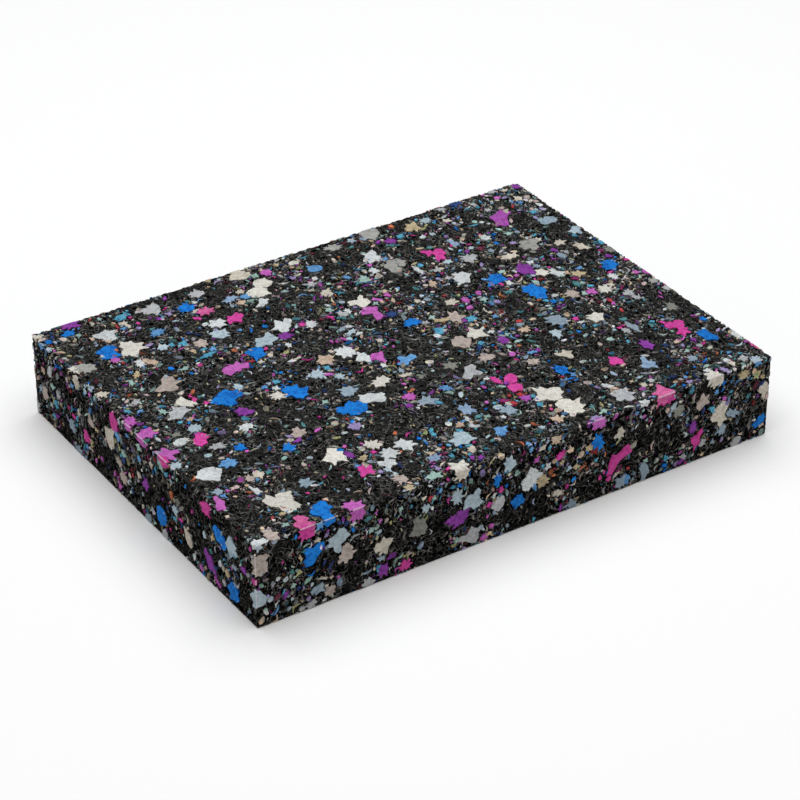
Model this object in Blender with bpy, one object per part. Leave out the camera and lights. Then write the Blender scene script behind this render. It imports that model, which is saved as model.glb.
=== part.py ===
"""Rebonded foam sheet: one rectangular slab of pressed foam crumb, cut square with a saw.

Metres, +Z up. The origin is at the middle of the underside, X runs along the longest side
and Y along the shorter one.
"""

import bmesh
import bpy

# Driving dimensions
LENGTH = 0.200
WIDTH = 0.1475
THICKNESS = 0.031
EDGE_RADIUS = 0.0004
EDGE_SEGMENTS = 2

# Finish of the slab: charcoal crumb with coloured chips, seen from a distance
CRUMB_COLOR = (0.075, 0.075, 0.085, 1.0)
CRUMB_ROUGHNESS = 0.95


def clear_scene():
    for old in list(bpy.data.objects):
        bpy.data.objects.remove(old, do_unlink=True)


def foam_material():
    material = bpy.data.materials.new("rebonded_foam")
    material.use_nodes = True
    shader = material.node_tree.nodes["Principled BSDF"]
    shader.inputs["Base Color"].default_value = CRUMB_COLOR
    shader.inputs["Roughness"].default_value = CRUMB_ROUGHNESS
    shader.inputs["Metallic"].default_value = 0.0
    return material


def foam_sheet():
    """The slab, standing on its underside, with its saw-cut edges just taken off."""
    slab = bmesh.new()
    bmesh.ops.create_cube(slab, size=1.0)
    bmesh.ops.scale(slab, vec=(LENGTH, WIDTH, THICKNESS), verts=slab.verts)
    bmesh.ops.translate(slab, vec=(0, 0, THICKNESS / 2), verts=slab.verts)
    bmesh.ops.bevel(
        slab,
        geom=slab.edges[:],
        affect="EDGES",
        offset=EDGE_RADIUS,
        segments=EDGE_SEGMENTS,
        profile=0.5,
        material=-1,
    )
    bmesh.ops.recalc_face_normals(slab, faces=slab.faces)
    mesh = bpy.data.meshes.new("foam_sheet")
    slab.to_mesh(mesh)
    slab.free()
    mesh.materials.append(foam_material())
    sheet = bpy.data.objects.new("foam_sheet", mesh)
    bpy.context.scene.collection.objects.link(sheet)
    return sheet


clear_scene()
foam_sheet()
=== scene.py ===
# Looks of the rebonded foam sheet: a sawn slab of charcoal crumb with torn chips of coloured foam in it.
# Lengths are in metres, and in millimetres where a name ends in mm or a table says so.
import itertools
import math
import random

import bmesh
import bpy
from mathutils import Matrix, Vector, noise


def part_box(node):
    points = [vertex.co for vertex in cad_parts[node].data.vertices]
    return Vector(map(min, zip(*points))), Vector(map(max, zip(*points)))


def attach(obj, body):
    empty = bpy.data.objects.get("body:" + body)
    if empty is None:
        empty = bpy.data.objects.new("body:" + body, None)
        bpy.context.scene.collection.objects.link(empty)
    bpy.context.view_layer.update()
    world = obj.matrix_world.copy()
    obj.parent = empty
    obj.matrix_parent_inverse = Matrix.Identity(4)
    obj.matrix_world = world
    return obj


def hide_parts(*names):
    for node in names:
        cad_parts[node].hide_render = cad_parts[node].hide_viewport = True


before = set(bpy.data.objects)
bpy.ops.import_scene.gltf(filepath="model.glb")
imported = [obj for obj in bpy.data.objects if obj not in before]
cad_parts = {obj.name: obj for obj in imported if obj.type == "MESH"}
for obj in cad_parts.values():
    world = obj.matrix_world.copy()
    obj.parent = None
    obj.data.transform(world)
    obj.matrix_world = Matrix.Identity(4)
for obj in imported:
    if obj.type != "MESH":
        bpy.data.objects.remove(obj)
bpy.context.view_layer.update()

MM = 0.001
LOW, HIGH = (Vector(corner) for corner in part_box("foam_sheet"))
SIZE = HIGH - LOW
MIDDLE = (LOW + HIGH) / 2

# The sawn body
EDGE_RADIUS = 0.4 * MM
SKIN_STEP = 0.9 * MM
SKIN_DEPTH = 0.12 * MM
SMOOTH_ANGLE = math.radians(60)
LUMP_SIZE = 2.4 * MM
LUMP_DEPTH = 0.10 * MM
CREVICE_SIZE = 2.3 * MM
CREVICE_DEPTH = 0.35 * MM
PIT_SIZE = 1.5 * MM
PIT_DEPTH = 0.8 * MM
CREVICE_WIDTH = 0.3
PIT_START = 0.30
PIT_RANGE = 0.4
PIT_SHIFT = Vector((9, 4, 2))
DEEPEST_AT_EDGE = 0.45 * MM
DEEPEST_AT_FLOOR = 0.2 * MM
FLAKE_SIZE = 11 * MM
FLAKE_SEAM = 0.34
CLUSTER_SIZE = 5 * MM
CRUMB_REACH = 6 * MM
SMALL_CHIP = 2.4 * MM
BIG_CHIP = 4 * MM
SPOT_CELL = 4 * MM

# The chips
CHIP_POINTS = 72
CHIP_SUNK = 1.3 * MM
CHIP_RIM = 0.10 * MM
CHIP_CROWN = 0.03 * MM
CHIP_LIFT = (0.0 * MM, 0.05 * MM)
CRUMB_SUNK = 1.1 * MM

# Colours of the foam, as seen on the photo's top face (sRGB, 0 to 255): the foam, and its veins
FOAM_COLORS = {
    "white": ((214, 219, 220), (190, 196, 199)),
    "ivory": ((222, 220, 211), (204, 201, 191)),
    "cream": ((210, 203, 190), (188, 180, 166)),
    "light_grey": ((183, 185, 188), (158, 161, 165)),
    "dove": ((168, 168, 164), (144, 144, 140)),
    "grey": ((136, 137, 130), (112, 113, 108)),
    "taupe": ((188, 175, 168), (162, 149, 142)),
    "peach": ((206, 186, 166), (184, 158, 138)),
    "tan": ((196, 180, 148), (164, 148, 116)),
    "orange": ((196, 118, 82), (166, 92, 60)),
    "red": ((178, 66, 72), (146, 48, 58)),
    "pink": ((212, 76, 160), (190, 54, 140)),
    "rose": ((212, 106, 160), (186, 80, 138)),
    "orchid": ((198, 106, 189), (176, 84, 168)),
    "plum": ((174, 88, 180), (150, 66, 156)),
    "violet": ((142, 66, 162), (118, 50, 138)),
    "lilac": ((160, 146, 190), (136, 120, 168)),
    "navy": ((48, 70, 122), (34, 52, 96)),
    "blue": ((26, 128, 218), (12, 92, 180)),
    "sky": ((106, 160, 210), (80, 132, 188)),
    "haze": ((146, 170, 198), (120, 146, 178)),
    "ice": ((180, 198, 207), (154, 174, 187)),
    "steel": ((150, 168, 182), (124, 142, 158)),
    "cyan": ((94, 168, 196), (64, 140, 172)),
    "teal": ((84, 136, 140), (60, 110, 116)),
    "mint": ((164, 194, 186), (138, 170, 162)),
    "olive": ((168, 170, 126), (140, 142, 102)),
    "maroon": ((108, 50, 66), (84, 38, 52)),
}
# How often each colour turns up among the torn chips and among the crumbs
CHIP_SHARES = {
    "blue": 12, "white": 10, "ivory": 7, "cream": 9, "light_grey": 13, "grey": 5, "taupe": 10, "pink": 10,
    "violet": 7, "orchid": 6, "rose": 2, "ice": 10, "haze": 2, "steel": 7, "sky": 5, "peach": 3,
    "mint": 3, "tan": 3,
}
CRUMB_SHARES = {
    "white": 10, "cream": 11, "light_grey": 8, "grey": 6, "taupe": 8, "peach": 8, "tan": 5, "orange": 2,
    "red": 2, "pink": 4, "orchid": 4, "violet": 4, "lilac": 5, "navy": 5, "blue": 5, "sky": 6, "ice": 9,
    "steel": 7, "cyan": 7, "teal": 8, "mint": 9, "olive": 5, "maroon": 3,
}

# Colours of the finest specks in the crumb
SPECK_COLORS = (
    "white", "teal", "taupe", "pink", "ice", "tan", "navy", "orange", "mint", "cyan", "cream", "violet",
)

# The faces of the slab: middle, across, up
FACES = {
    "top": (Vector((MIDDLE.x, MIDDLE.y, HIGH.z)), Vector((1, 0, 0)), Vector((0, 1, 0))),
    "underside": (Vector((MIDDLE.x, MIDDLE.y, LOW.z)), Vector((1, 0, 0)), Vector((0, -1, 0))),
    "front": (Vector((MIDDLE.x, LOW.y, MIDDLE.z)), Vector((1, 0, 0)), Vector((0, 0, 1))),
    "back": (Vector((MIDDLE.x, HIGH.y, MIDDLE.z)), Vector((-1, 0, 0)), Vector((0, 0, 1))),
    "left": (Vector((LOW.x, MIDDLE.y, MIDDLE.z)), Vector((0, -1, 0)), Vector((0, 0, 1))),
    "right": (Vector((HIGH.x, MIDDLE.y, MIDDLE.z)), Vector((0, 1, 0)), Vector((0, 0, 1))),
}

# Chips read off the photo, in mm from the middle of their face: across, up, wide, high, and degrees if turned
TOP_CHIPS = {
    "blue": (
        (11.8, 10.2, 6.8, 5.2, -10), (-83.5, 50, 8, 8.5), (-89, 67.5, 5.5, 4, 20), (-65, 3.5, 12, 9.5, 10),
        (-63.2, -33, 4.6, 4.8), (-76, -24.5, 4.2, 4.6), (-73.5, -69.5, 7, 10, 20),
        (-47.5, 60.5, 6, 6.4, 30), (-42.5, 21.2, 6, 8), (-43.8, -5.5, 8.6, 9, 40), (-34.5, -24.5, 11, 9),
        (53, 18.7, 7, 6.5), (59.3, 3.8, 7.6, 9.8), (91.5, 4.8, 6.4, 7, 30), (36.3, -42.3, 5.2, 6.6),
        (90.3, -51.8, 5.4, 7.8), (-97.3, 66, 2.4, 3), (96, -42, 3, 3), (60.3, -4.7, 2.6, 2.4),
        (63.2, -5.3, 2.2, 2.2),
    ),
    "sky": (
        (-2.2, -62, 5.6, 4.4, 10), (34.5, -28, 4, 2.2, -20), (-64, 51.5, 6, 4, 20), (-83.5, -30.5, 6.6, 6),
        (3, 59.3, 5.6, 5, 10), (-3.3, -9, 6, 5.6), (9.7, 48, 2.4, 3.6, 30), (28, 51.9, 2.4, 2.2),
        (37.8, -2, 2.8, 2.8), (92.2, 60, 2.2, 2.8), (-72, 60, 2.8, 2), (37.8, -46.8, 2.4, 3),
        (-26.5, 56.3, 4, 3.4), (-53.5, 32, 2.4, 3), (-2, -31, 4.4, 4.4, 20),
    ),
    "cyan": (
        (-57, 29.5, 7, 2.6, 10), (-63.5, 42, 2.4, 3, -20), (-60, 40.5, 3.8, 4), (41.3, 62.7, 3.6, 3.2, 20),
        (30.3, 1.4, 4.6, 3.4, 30), (16, 0.3, 4.6, 3.8), (-12.6, -54.5, 1.9, 3.4, 20), (19, -50.6, 2, 2.2),
        (18, -56, 2.6, 3), (-56, 33.5, 3.2, 2), (92, 51.6, 3.4, 3), (80.3, -34, 2.6, 2.2),
        (62.7, -25.6, 2.4, 2), (-28, 0.8, 2.6, 4), (-46.3, 2.8, 3, 3), (99, 20, 2.2, 4),
        (82, 37.2, 3, 1.4, 20), (-95.8, 13.3, 2, 3.6, 20), (-69, 67, 5.6, 3.2, 20),
        (-20.8, -51.7, 2.2, 3.4, 20),
    ),
    "ice": (
        (94.3, -72.3, 4, 4.4), (-46.3, 39, 7.2, 7), (-98.3, -22.5, 4.4, 4.6), (-82.5, -7, 5, 5, 30),
        (-66.5, 42, 4, 4.6, 30), (-35, 27, 8.4, 7.4, 20), (-32.5, -0.8, 5, 6.6), (-27, -5.8, 3.4, 5),
        (-58.5, 6.5, 4, 4.6), (-9, 16, 5, 2.6, 20), (25, 69.5, 3.2, 3), (45.2, 38, 4, 3.4),
        (-15, -59, 8.8, 8.4, 20), (55.5, 67.5, 4.4, 4.8, 20), (96, 32.3, 4.6, 5.2),
        (57.8, 41.8, 3.4, 2.4, 20), (48.7, -22.5, 4.4, 6), (-44, -61, 2.4, 4), (10.6, -67.3, 2.4, 3),
        (52, 58, 2.4, 3.4), (-99.3, 62, 3, 3),
    ),
    "steel": (
        (-29, -14.7, 5, 6, 30), (-11.5, -34, 6.8, 6.6), (-94.5, -42.5, 3.4, 4), (-69.5, -53, 6, 5.2, 10),
        (53.5, -15.5, 7, 7.6), (93.3, 44, 5.2, 7.6), (7.3, -53, 6, 6.8), (81.3, 19.8, 3, 4.6),
        (-10.5, 19.5, 3.6, 3), (77, -60.5, 3.8, 4.8, -20), (72.6, -33, 3, 6), (41.5, -11, 3, 3, 30),
        (-8.2, -13.5, 2.4, 4), (24.5, 20.3, 3, 3, 20), (69.8, 18.6, 3, 3), (62.8, 36.3, 3, 3),
    ),
    "white": (
        (-90.2, -11.2, 5, 4.4), (-92, -32.5, 9.2, 8, 10), (-23.8, 49.5, 3.4, 6.6, -30),
        (-98, -72.4, 4.6, 4.2), (-78.2, 37.2, 3.6, 5), (-79, 60.5, 8, 8.2, 10), (-43.3, 62.3, 2.5, 2.6),
        (-44, 45.5, 7.2, 6), (-25, 32.8, 8.8, 8, 20), (-17.3, 28, 4.6, 5), (25.5, 56.5, 8.4, 8.4, 30),
        (20, 47, 3.4, 5), (44, 26.3, 8.2, 8.4), (-17, 6.2, 7, 7.6), (-14.5, -0.2, 6, 5.4, 30),
        (-25.5, -22.8, 9, 7, -20), (-68.3, -15.5, 5, 4.4), (-84.3, -48.5, 2.6, 4.6),
        (-31.5, -51.8, 7.6, 7, -40), (-38.6, -53, 7, 6.8, 30), (-42.2, -57.6, 6.2, 5.8),
        (72.6, 11.2, 4.8, 7.4, 20), (47, -73, 3.6, 4), (-6.5, -50.2, 2.4, 3), (-31, 20.3, 2, 4.2, -10),
        (-11.3, -7.8, 2.6, 3), (3.7, -55.5, 2.2, 2.6), (99, -56, 3.4, 6), (66.6, 45, 4.4, 5),
        (43, -58.5, 2.4, 5, 30), (12.3, -33.4, 2.2, 1.9), (-2.4, 28.6, 3, 4), (69.3, 22, 3.2, 3),
        (-36, -30.5, 3, 3, 20), (88, -2, 3.6, 4.2), (33.4, 39, 2.4, 6.4), (60, -21, 3.2, 2), (-7, 14, 3, 3),
        (54.6, 14, 3.2, 3.6), (-48.5, -0.8, 3, 3), (76.4, -69, 3.4, 2.2), (30.6, -9.6, 2.8, 2.4),
    ),
    "cream": (
        (-8.5, -17, 4.6, 2.6, -10), (-98, 27, 5, 4.2), (-79.2, -41, 3.6, 4.2), (-99.4, 71, 4.2, 2.6),
        (-20.4, 70.4, 7.4, 7.4), (-26.4, 60, 3.6, 3), (-1.8, 43.5, 5, 4, 20), (31, 14, 5, 4.6, 20),
        (86.6, 28, 4.6, 5), (66, 29.2, 6.6, 4), (93, 63, 3.8, 4.2), (92.6, 71, 3.4, 2.4, -20),
        (91.5, 21.5, 4.2, 7.4, 20), (83.6, -6, 3, 2.8), (43.6, -35.3, 4.2, 6.2),
        (-15.5, -65.7, 2.8, 4.6, -20), (61.8, 63.2, 3.6, 3, -30), (16.6, 18.6, 2.8, 3.8),
        (21.2, 21.3, 3, 2.8), (-44.2, 16, 3, 2.8, 20), (-70.3, 63, 3.8, 3), (-39.4, 18, 2, 3),
        (-46.2, 57, 4, 2.2, 10), (-24.5, -59.8, 3, 2), (-33, 11.5, 3.8, 2, 20), (53.2, -64.6, 2.6, 3.6),
        (85.8, -70, 2.6, 3.8), (-3.8, 6, 2.6, 3), (81.2, 34, 2.4, 3.4, 20), (9.5, -49.8, 2.8, 2.6),
        (-88.5, -11, 3, 3),
    ),
    "light_grey": (
        (-57.5, 66.8, 9, 7.4), (-81.6, 3.8, 7.6, 6.8, 20), (-40, 67, 5.8, 5.6), (-81.8, -20, 6, 4, -10),
        (-5, 28, 3.4, 4.8), (10.5, -27.3, 6.8, 6.6), (44, -66.6, 7.6, 8.2), (53.3, 36, 6.6, 6.6),
        (-3.2, 51, 4, 3.6), (76.8, 68, 2.6, 3.6), (91.2, -69.6, 3.4, 4.2), (85.6, -14, 4, 5),
        (85.8, -18, 2.6, 4.4), (39.2, 35.2, 3.6, 3), (39.2, 28.6, 2.6, 3), (69.4, -34, 3, 4.2),
        (-91, 17, 4, 2.8, 20), (98.4, -18.4, 3, 3.6), (88, 72.4, 3, 3), (15.4, 7.6, 3.2, 3),
        (57, -63.8, 2.8, 2.4), (78.8, 62, 2.6, 3), (65, 71.6, 3.4, 3, -20),
    ),
    "grey": (
        (7.5, -20, 6, 6), (98.4, 13.6, 4, 4.6), (54.6, -7, 4, 3.2, -20), (1.6, -33.1, 4, 1.5),
        (-89.6, -7.4, 4, 3.6), (92, -29.6, 4.6, 6.2), (18, -62.6, 3, 3), (64.6, 39.6, 4, 2.4),
    ),
    "taupe": (
        (-92.6, -71, 5, 7.2), (-76.5, 21.2, 8.4, 8.8), (26, 4.8, 6.2, 8, 10), (18.3, -10, 7.2, 8),
        (68.5, -3.8, 6.2, 6.6), (-56.4, -27.2, 6, 5.4, 30), (-43.5, -67, 5.4, 6.2), (-82.5, -41.3, 3, 4.6),
        (-55, 37, 6, 5), (19.5, -21.8, 5.6, 4, 20), (31.5, -33, 4.6, 4.4, 30), (96.4, 62, 3, 3),
    ),
    "peach": (
        (-25.3, 5.4, 8, 6.8, -10), (41, -14.4, 5.2, 3.4), (17.5, -66, 4.4, 5), (32.3, 28.3, 3.2, 5.2, -20),
        (-30, 53.3, 3.6, 3.2), (-75.4, 36.6, 3.8, 5), (-80.3, 55.5, 2, 2.4), (76, 8.8, 3.2, 3.6),
        (-84, 59.8, 2.2, 2.8), (79.4, -49, 3, 2.2), (-81.2, -1.8, 2.6, 2.6), (-10.5, -51.5, 3.6, 3.4, 20),
        (-27.4, -60.6, 2.4, 2.4), (15.3, 33, 2.4, 2.8),
    ),
    "tan": (
        (48.8, 66, 5.8, 6.2), (-82.6, 31.5, 2.6, 4.4, -30), (79, 6.3, 5, 5.4), (20.5, 6.1, 5.4, 2.6, -10),
        (-46.7, -51, 3.6, 3, 20), (-43.8, -72.6, 3.4, 4), (-84, -63.4, 2.6, 2), (28, -2.2, 2.4, 1.9, 20),
        (-6.5, 69.2, 2.6, 2.2),
    ),
    "pink": (
        (-37, 45.5, 7.8, 6.2), (-84.5, -14.6, 4.8, 8, 10), (-50.2, -57.5, 5.4, 6.6), (-20, 29.3, 2.6, 2.6),
        (42.8, 48, 3.6, 4.4, 40), (45.4, 44.8, 5.6, 8.6, -20), (14.5, -36.1, 2.6, 5.8, 10),
        (18.8, -38.2, 5.2, 5.6), (17.2, -43, 5, 6), (83, -36.2, 2.6, 3.4), (85.2, -39.6, 7.2, 4.2, 10),
        (85.4, -44.4, 4.8, 6.4, -20), (54.5, -47.9, 4.2, 6.8), (88.8, 1, 2.6, 2), (59.8, -18.4, 3, 3.2),
        (-71.8, 4, 2.2, 2.6), (99, 5, 3, 2, -20), (-42.3, -50, 1.8, 3.2), (-62, 25.6, 2.4, 2),
        (52, 14.8, 2, 2.8),
    ),
    "orchid": (
        (-52, 18.2, 10.4, 6.4), (-98, 8, 5, 5.4, 20), (-97, -1.3, 8, 6, -10), (-97.4, -15.7, 7, 6.4),
        (-97, -48, 3.8, 6.2), (-63.5, -72, 6.6, 7), (-9.8, -2.4, 5.6, 7), (5, 22.8, 7, 9.4),
        (35.5, 12.7, 3.6, 4.4), (-15, -28.8, 5, 4.4, -20), (75.2, -6.2, 4, 4.6),
        (-12.2, 66.5, 4.6, 4.4, -20), (15, 30.3, 3, 3.4), (21, 51.2, 2.3, 2.2), (96.4, -3.8, 2.6, 2.6),
        (99.3, -5.6, 2.2, 4.4), (-84.2, 43.6, 3.6, 4.4), (-13.3, 13.7, 2, 3.6, 20), (76.8, -16.8, 3, 3),
        (60, 17, 2.2, 2),
    ),
    "violet": (
        (-58.8, -31, 4, 1.9, 20), (98, 71.4, 3, 4.6, 30), (-86, 72, 7.6, 6), (-64.5, -7.5, 6.4, 6),
        (-28.5, 26.3, 5.2, 5), (36.3, 61.5, 4.2, 4.6), (65, 18.5, 6.8, 8.8), (31.3, -16.5, 4, 5.6, -10),
        (69.5, -45, 4.8, 7.8), (-49.5, -47, 2.6, 5), (-17.8, -33.5, 3.2, 3), (84.8, -51, 2, 3.6),
        (-18, -69.5, 2.4, 3), (-15.7, -71, 3, 2.6), (57, 16.2, 2.4, 2.6), (27.4, 1.6, 2, 2.6),
        (32.6, 63.6, 3, 2, 20),
    ),
    "mint": (
        (-67.5, 26.4, 4, 3), (-86.5, 28, 2.4, 4), (-86.3, 7, 2.4, 4, 10), (-16.5, 66.8, 3, 3),
        (14, 44, 4.6, 4.6), (75, 43.4, 4, 2.6), (19.2, 9.4, 3, 3.4), (-86.3, -69, 3.4, 2.6),
        (-33.4, -71.8, 4.4, 4.2, -30), (-7.4, 32.4, 3, 3.6), (41, 9.6, 3, 4), (-39.6, -16.4, 3, 3),
        (33, -70.4, 3, 3.2), (72.5, -5.8, 2.6, 3.4), (57.2, 22, 3.2, 3, -20), (62.8, 9.2, 2.4, 4.2, -20),
        (8.5, 27.7, 2.8, 3), (30.3, -20.8, 2.4, 2.8), (-76, 70, 2.2, 2.6), (34.2, -14, 2.6, 2.4),
        (78.4, -55.4, 3.2, 2.6, 20),
    ),
    "lilac": (
        (-39.2, -33.8, 4.6, 5), (28.4, -73.4, 5.2, 5.6), (81.4, -72, 2.2, 4.6, 10),
        (-54.4, 60.4, 3.4, 3.4, 20), (-6.3, 58.3, 2.4, 2.8), (-30.5, -68.8, 2.2, 3.8),
        (-46.5, -60.4, 2.2, 3), (67, -71.4, 3, 2.4),
    ),
    "red": (
        (-73.3, 62.3, 1.7, 3.4, -10), (-22.7, -60, 1.6, 1.6), (-46.6, 18.4, 3, 1.6), (34, -46, 1.8, 1.6),
    ),
    "orange": (
        (-81, 49, 1.8, 2.2), (-47.9, 27.4, 2, 2.6), (56.4, -1, 1.7, 1.5), (-4, 35, 2, 1.6),
    ),
    "teal": (
        (-75.5, -41.5, 4, 2.2, 40), (74, 0.8, 3, 4.6),
    ),
    "navy": (
        (72, 72, 5, 3.4), (21.5, -16, 4, 2.4, 45), (9, 18.5, 4.4, 4, 20),
    ),
    "ivory": (
        (26.5, -8, 8, 8.6), (-40.3, -46, 5.6, 6), (23.5, -52.3, 10, 10.6, 20), (68.6, 14, 5.4, 6.4, 30),
        (66.5, -21, 7.2, 7), (-98.4, 45.5, 3, 5), (4.3, 31.7, 8.2, 7.4), (-76.5, 48, 11, 11.4, 20),
        (-77.6, 8, 5, 6.4, 20), (-54.5, -45, 8.4, 9), (-81.2, -56, 9.6, 7.4), (-16, 61.7, 8, 6.8, 20),
        (-21, 56.8, 8.2, 7.6), (-17.8, -15.7, 7, 6.2), (-50.6, -4.8, 5.4, 4.8), (25.6, -63.5, 9.4, 9, 20),
        (80.4, -7.8, 5.8, 6.2, 20), (76, -72.6, 6.6, 6.6), (-24, -71.8, 7, 7), (-0.4, 67, 4.8, 2.8),
    ),
    "haze": (
        (-28.3, -63, 4.6, 4), (-32, 57.3, 6.4, 3.4, 10), (-3.5, -45.5, 5.6, 7), (62.5, -55.3, 5.6, 6, 20),
        (54.5, 48.8, 3, 4.6),
    ),
    "rose": (
        (-82.3, -70.6, 6.6, 9), (55.6, -71.2, 7.6, 8), (-43.5, 54.8, 7.6, 5.2, 10), (99.4, -65, 2.4, 6),
    ),
    "dove": (
        (-95, 44.5, 7.6, 7), (76.8, 32, 8, 8, 20), (27.2, 46.4, 6, 7), (31, 46.4, 4.4, 5),
        (98, -12, 4.6, 4), (17, 69, 6.4, 4.4, -10), (33.5, 69.8, 8.6, 9.4),
    ),
    "plum": (
        (79.6, 55.5, 8.6, 6.6, 20), (16.2, -50, 4, 5, 20),
    ),
}
# The long side in front: across, above the floor, wide, high, turned
FRONT_CHIPS = {
    "blue": (
        (-11, 22, 2.8, 4.6, -10), (-73.6, 30.6, 4.4, 2.6), (-79.8, 20.3, 8.2, 7, 10),
        (28.6, 22.6, 5.2, 6.2), (97, 6.6, 6, 3.6, 30), (-65, 23.7, 1.6, 1.8), (-25.3, 25.5, 2, 1.8),
        (56.7, 3, 2.6, 1.4), (-3, 11, 4.8, 5),
    ),
    "cyan": (
        (-56, 5.5, 2, 3), (75.4, 18.5, 3.6, 2.2, -30), (28, 15.5, 1.8, 1.8), (83.3, 22.8, 1.6, 1.6),
    ),
    "sky": (
        (-76.6, 29.8, 3.4, 3, 20), (94, 30.2, 4, 2.6), (41, 3.4, 2.2, 4.6), (44, 28, 1.7, 1.6),
        (-32.7, 26.2, 1.6, 1.8), (77, 24.8, 1.8, 1.8),
    ),
    "ice": (
        (-71.2, 21.6, 9.2, 7.4), (-98.6, 11.5, 5.4, 8), (-21, 17.8, 8, 7), (-26.5, 21.3, 5, 6, 20),
        (-6.4, 26.8, 5.2, 5.4), (59.2, 25, 2.6, 4, -20), (-38.3, 21.7, 3.4, 3), (-98.6, 30, 3.4, 3.4),
    ),
    "steel": (
        (18.5, 2, 4, 4.2), (38.6, 3.4, 4.6, 4), (48.2, 4, 4.6, 6.6), (80.5, 8.8, 3.6, 5),
        (85, 13.7, 5.4, 3, -20), (-55, 8.8, 3, 2), (-78.4, 6.6, 4.4, 3.8),
    ),
    "white": (
        (1.4, 17.6, 8.6, 8, 20), (8.6, 20, 3.6, 2.8, 20), (-64.9, 25.8, 2.8, 1.9, 10), (47.2, 30.4, 4, 2.4),
    ),
    "cream": (
        (-53.9, 13.4, 6, 6.6), (79.2, 15.6, 7.6, 9.2), (37.4, 22.5, 4.6, 5), (98, 18.6, 4.4, 5.8),
        (13, 8.4, 4.6, 2.6, -10), (-76, 9.8, 4, 2), (-77.8, 24.7, 3, 2.4), (6.4, 28, 4, 2.2, 20),
        (-24.6, 29.4, 6, 5), (76.6, 29.2, 5.6, 5.2),
    ),
    "light_grey": (
        (-20.4, 4.5, 7.8, 6.2), (-10.2, 13, 5.6, 6.2), (-59.6, 1.4, 5.2, 4.6), (87, 2, 4.2, 3.6),
        (72.5, 6.4, 3.2, 3.2), (-80.4, 1.4, 4, 3), (-83.8, 1.4, 2.2, 2.4), (64.5, 3.6, 3.6, 2.4, -20),
    ),
    "taupe": (
        (-97.6, 23.6, 5.2, 7.2), (-67.8, 14.8, 5.6, 5.8), (71.8, 22.5, 4.6, 5.2), (-73.6, 4, 4, 4.6, 20),
    ),
    "tan": (
        (6.9, 15.6, 5, 5.6, 20), (24.8, 21.3, 3, 3), (88.5, 27.6, 4.4, 4.2, -20), (19.9, 15.9, 3, 2, 10),
        (-84, 20.3, 2, 2.6), (96.4, 24, 2.2, 1.9), (14.2, 19.5, 2, 2),
    ),
    "peach": (
        (11.8, 29.3, 4.8, 3.4), (97.5, 4.5, 2.4, 2.2),
    ),
    "pink": (
        (-46, 2.7, 5, 4.2, 10), (13.4, 22.6, 4.2, 2.8, 30), (35.6, 12.4, 5.6, 7.8, -40),
        (-82, 29, 6.2, 5.6, 10), (56.2, 29.2, 6.6, 5), (69.5, 8.3, 4.4, 5.8), (33.5, 6.3, 2.2, 2.4),
        (-9.5, 17.8, 1.9, 3), (-14, 13.8, 2.2, 2),
    ),
    "violet": (
        (-28, 13.4, 5.6, 4, 10), (-24.8, 13.2, 5, 6.2), (-54.2, 4.4, 5, 5.4), (67.8, 14, 3.4, 4.8, -10),
        (63.6, 2, 3.6, 2.6), (14.3, 1.8, 2.6, 2.6, 20), (-89.5, 8.8, 1.6, 2.6, -30),
    ),
    "orchid": (
        (4.2, 24.3, 2.2, 3.4, -20), (-15.9, 2, 3, 2.8), (46.8, 25.6, 1.8, 1.8), (80.6, 21, 2, 2),
        (-63.6, 28.8, 5.6, 6), (28.6, 29.2, 5.6, 4.8),
    ),
    "mint": (
        (-86.7, 11.3, 2.2, 2), (-58.5, 21, 2.2, 2.2, 20), (-26, 4.6, 3, 2.4), (48.6, 8, 2.2, 2),
        (-47.4, 24.8, 2.2, 2), (-35, 24.4, 2, 2),
    ),
    "teal": (
        (-87, 16.5, 2.2, 2), (-59.4, 25.8, 3, 1.7, 20), (91, 18.4, 2.2, 2.2),
    ),
    "grey": (
        (61.4, 22.6, 4.6, 4.6), (-40.8, 15.4, 6, 7.6),
    ),
}
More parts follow.
